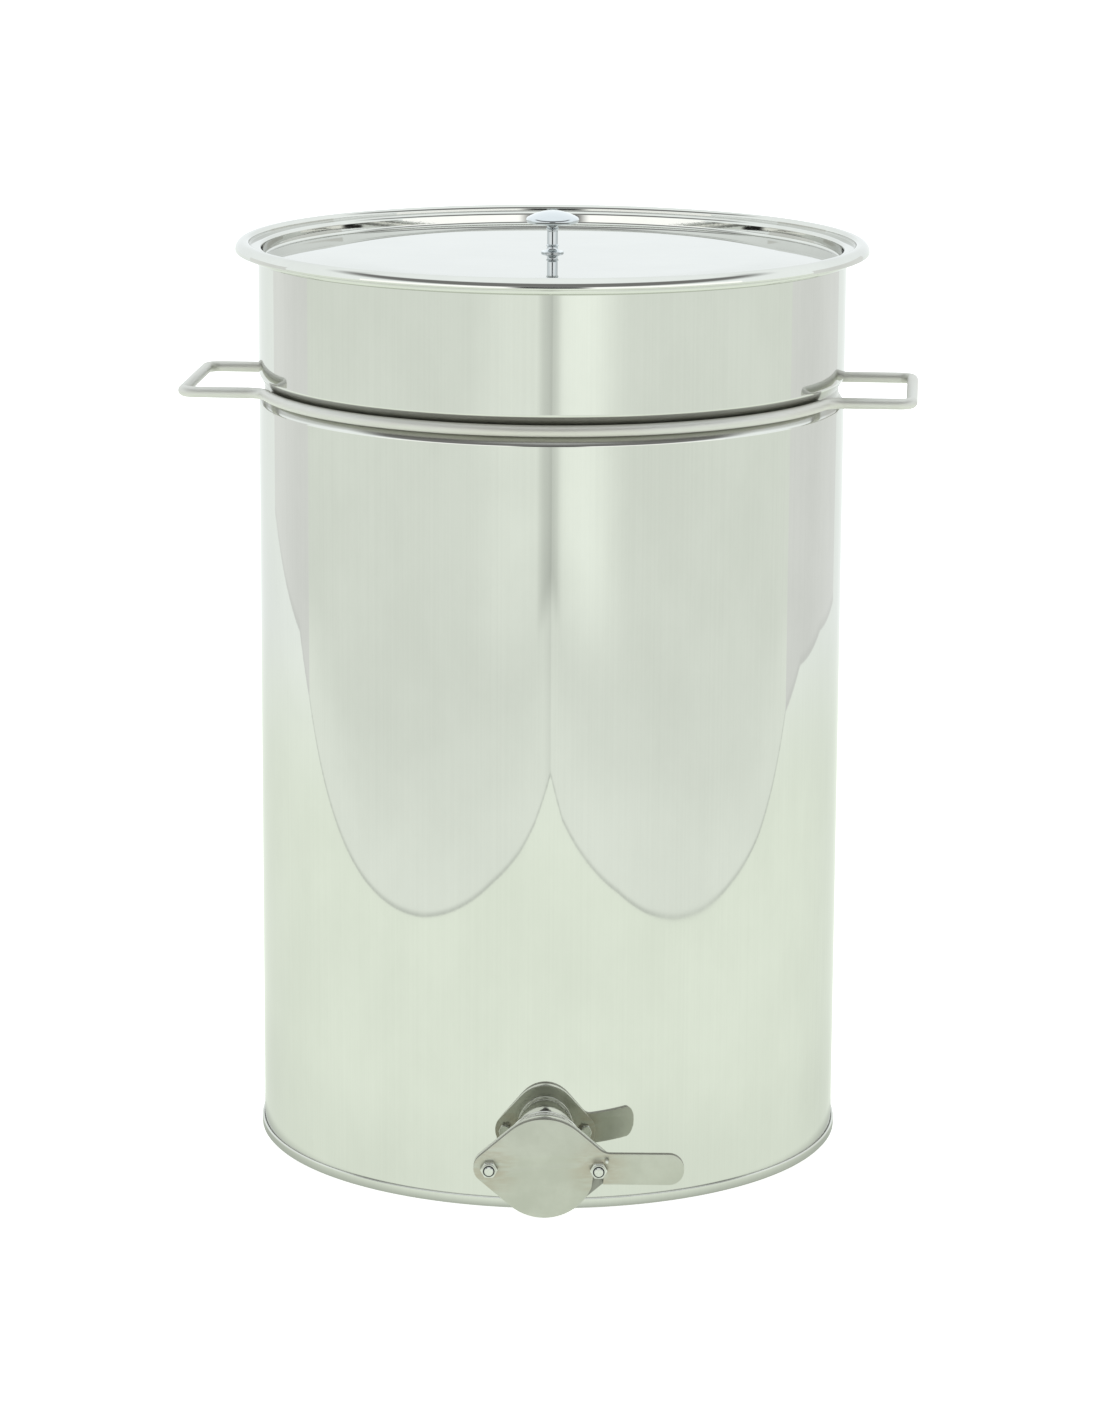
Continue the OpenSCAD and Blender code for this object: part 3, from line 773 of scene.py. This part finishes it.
bmesh.ops.rotate(bm, cent=(0, 0, 0), matrix=Matrix.Rotation(math.radians(ring_turn), 3, "Z"), verts=bm.verts)
ring = piece_from(bm, "bent_bar", bar_steel, "tank", "satin_steel", "carrying_ring")
print("ring faces:", len(ring.data.polygons))

# %% [markdown]
# ## The gate
# The gate's plates, pipe, bolts and nuts have the right shapes already, but their edges are knife-sharp. A
# copy of each solid's mesh is merged, its flats are joined, and its edges get a small bevel, because real
# metal is always broken at the edge, and that edge catches the light. The plates take up to three finishes,
# told apart by where a face looks.

# %% Softened copies
FLAT, SHARP = math.radians(0.6), math.radians(28)


def softened(node_name, name, material, slot, width, sides=3, edge=None, front=None):
    """A bevelled copy of a solid. edge is the finish of its cut edges, and front that of the face at the front."""
    solid = frame["nodes"][node_name]
    bm = bmesh.new()
    bm.from_mesh(solid.data)
    bmesh.ops.remove_doubles(bm, verts=bm.verts, dist=2e-6)
    bmesh.ops.dissolve_limit(bm, angle_limit=FLAT, verts=bm.verts, edges=bm.edges)
    sharp = [e for e in bm.edges if len(e.link_faces) == 2 and e.calc_face_angle(0) > SHARP]
    bmesh.ops.bevel(bm, geom=sharp, offset=width * MM, offset_type="OFFSET", affect="EDGES", segments=sides,
                    profile=0.5, material=-1, clamp_overlap=True)
    if edge:
        for face in bm.faces:
            face.material_index = 1 if abs(face.normal.y) < 0.4 else 2 if face.normal.y < 0 else 0
    piece = dress(bm, name, material, solid["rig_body"], slot, node_name)
    if edge:
        piece.data.materials.append(edge)
        piece.data.materials.append(front or material)
    print("softened", name, len(piece.data.polygons), "faces")


softened("outlet_pipe", "pipe", pipe_steel, "satin_steel", 0.3)
# the flange's edges take the brighter pipe finish as a painted highlight, and its front face the painted shade
softened("gate_flange", "flange_plate", plate_steel, "satin_steel", 0.4, edge=pipe_steel, front=flange_face_shade)
# the flap's edges take the painted shade
softened("gate_flap", "flap_plate", plate_steel, "satin_steel", 0.5, edge=cut_edge_shade)
for side in ("pivot", "clamp"):
    softened(f"{side}_bolt", f"{side}_bolt_turned", fastener_steel, "satin_steel", 0.15, 2)
    softened(f"{side}_nut", f"{side}_nut_turned", fastener_steel, "satin_steel", 0.15, 2)
softened("stop_pin", "pin_turned", fastener_steel, "satin_steel", 0.12, 2)
softened("knob_washer", "washer_pressed", fastener_steel, "satin_steel", 0.15, 2)
softened("knob_screw", "screw_turned", fastener_steel, "satin_steel", 0.2, 2)

# %% [markdown]
# Two thin weld beads close the pipe's ends, one on the flange's back and one on the drum. Each is a small
# circle spun round the pipe. A torus would do on the flat flange, but the drum's bead also has to be drawn
# back to follow the round wall.

# %% Weld beads
DRUM_R, PIPE_R, FLANGE_BACK = 200, 25.5, -232.9


def bead(name, depth, thick, wall=None):
    """A bead round the pipe, thick in radius; wall is the radius of a round wall that it follows."""
    bm = bmesh.new()
    bmesh.ops.create_circle(bm, segments=12, radius=thick, matrix=Matrix.Translation((PIPE_R, depth, GATE_Z)))
    bmesh.ops.spin(bm, geom=bm.verts[:] + bm.edges[:], cent=(0, 0, GATE_Z), axis=(0, 1, 0), angle=2 * math.pi,
                   steps=96, use_merge=True)
    bmesh.ops.recalc_face_normals(bm, faces=bm.faces)
    if wall:
        for v in bm.verts:
            v.co.y += wall - math.sqrt(wall ** 2 - v.co.x ** 2)
    piece = piece_from(bm, name, pipe_steel, "tank", "satin_steel")
    print("bead", name, len(piece.data.polygons), "faces")


bead("weld_flange", FLANGE_BACK, 0.9)
bead("weld_drum", -DRUM_R, 0.7, wall=DRUM_R)

# %% [markdown]
# The seal and the two lock rings are almost hidden and already round, so they stay as they came and only
# take a finish.

# %% Small parts kept from the frame
for node_name, material in (("gate_seal", seal_rubber), ("pivot_nut_insert", lock_nylon),
                            ("clamp_nut_insert", lock_nylon)):
    kept = frame["nodes"][node_name]
    kept.data.materials.clear()
    kept.data.materials.append(material)
    smooth(kept.data)
    print("kept", node_name, "in", material.name)
